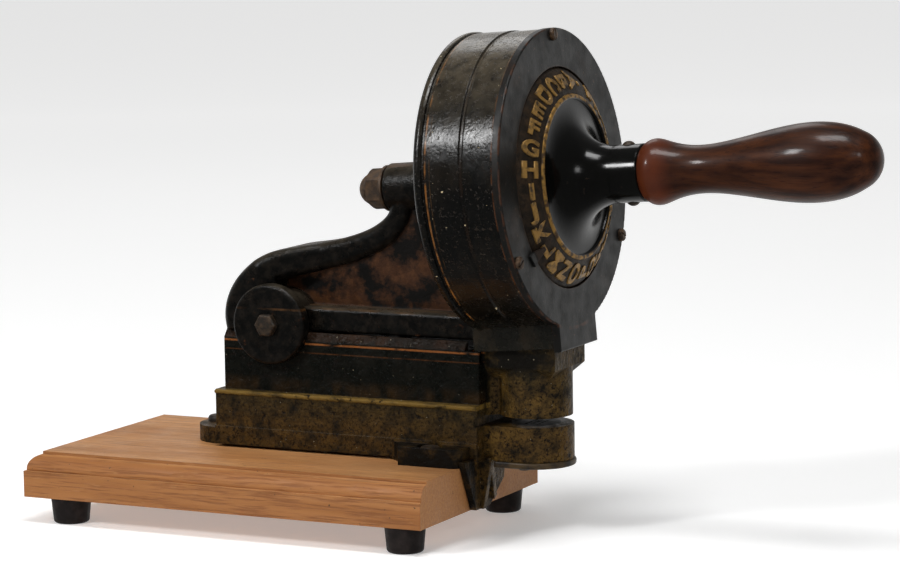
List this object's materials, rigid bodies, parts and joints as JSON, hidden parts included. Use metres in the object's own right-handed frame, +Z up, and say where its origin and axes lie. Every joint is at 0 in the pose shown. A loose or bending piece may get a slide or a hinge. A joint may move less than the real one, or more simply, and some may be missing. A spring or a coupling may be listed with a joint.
{
  "type": "letter perforating press",
  "caption": "Desk press that perforates letters: a lever arm pivots on a cast base, carries a dial drum with raised letters turned by a wooden handle, and drives pins through a paper slot.",
  "frame": {"origin": "middle of the overall box, on the surface that the rubber feet stand on", "axes": "+X from the board's moulded end towards the handle, along the lever arm; +Z up; -Y is the side with the near pivot disc"},
  "size_m": [0.4602, 0.1655, 0.2678],
  "materials": {
    "board_wood": "oiled, worn",
    "rubber": "moulded, matt",
    "steel": "turned, dull",
    "bronze_paint": "painted dark bronze green, worn",
    "black_japan": "stoved black japan, glossy",
    "dull_steel": "blackened, worn",
    "brass": "turned",
    "grey_plate": "satin, rubbed",
    "rusty_steel": "browned by rust",
    "iron": "as cast",
    "gilt_dial": "black with worn gilding",
    "grip_wood": "turned and varnished"
  },
  "bodies": {
    "base": {"wooden_board": "board_wood", "rubber_feet": "rubber", "foot_screws": "steel", "base_casting": "bronze_paint", "base_screws": "steel", "pivot_shaft": "steel", "near_pivot_disc": "black_japan", "far_pivot_disc": "black_japan", "near_pivot_bolt": "steel", "far_pivot_bolt": "steel", "pin_guide": "steel", "die_plate": "steel", "chip_cover": "dull_steel", "cover_screws": "steel", "spring_post": "steel", "return_spring": "steel", "pin_spring": "steel"},
    "arm": {"arm_casting": "black_japan", "boss_bush": "brass", "boss_set_screw": "steel", "drum_shell": "black_japan", "drum_screws": "steel", "face_plate": "grey_plate", "face_screws": "rusty_steel", "index_pointer": "grey_plate", "detent_leaf": "steel"},
    "dial": {"punch_wheel": "iron", "letter_blocks": "steel", "letter_dial": "gilt_dial", "hub_bell": "black_japan", "handle_rivet": "steel", "wooden_grip": "grip_wood", "spindle": "steel", "nut_washer": "rusty_steel", "dome_nut": "rusty_steel"},
    "pins": {"perforating_pins": "steel", "pin_plate": "steel"}
  },
  "joints": [
    {"name": "arm_press", "type": "hinge", "parent": "base", "child": "arm", "pos_m": [-0.1069, 0.0033, 0.1076], "axis": [0, 1, 0], "range_deg": [0, 2.3], "stiffness_Nm_per_rad": 14, "springref_deg": -57.3, "deforming": ["return_spring"]},
    {"name": "dial_turn", "type": "hinge", "parent": "arm", "child": "dial", "pos_m": [0.0554, 0.0033, 0.1896], "axis": [0.9962, 0, 0.0872], "continuous": true},
    {"name": "pin_slide", "type": "slide", "parent": "base", "child": "pins", "axis": [0, 0, -1], "range_m": [0, 0.0063], "deforming": ["pin_spring"]}
  ],
  "couplings": [
    {"joint": "pin_slide", "follows": "arm_press", "m_per_rad": 0.1447}
  ]
}
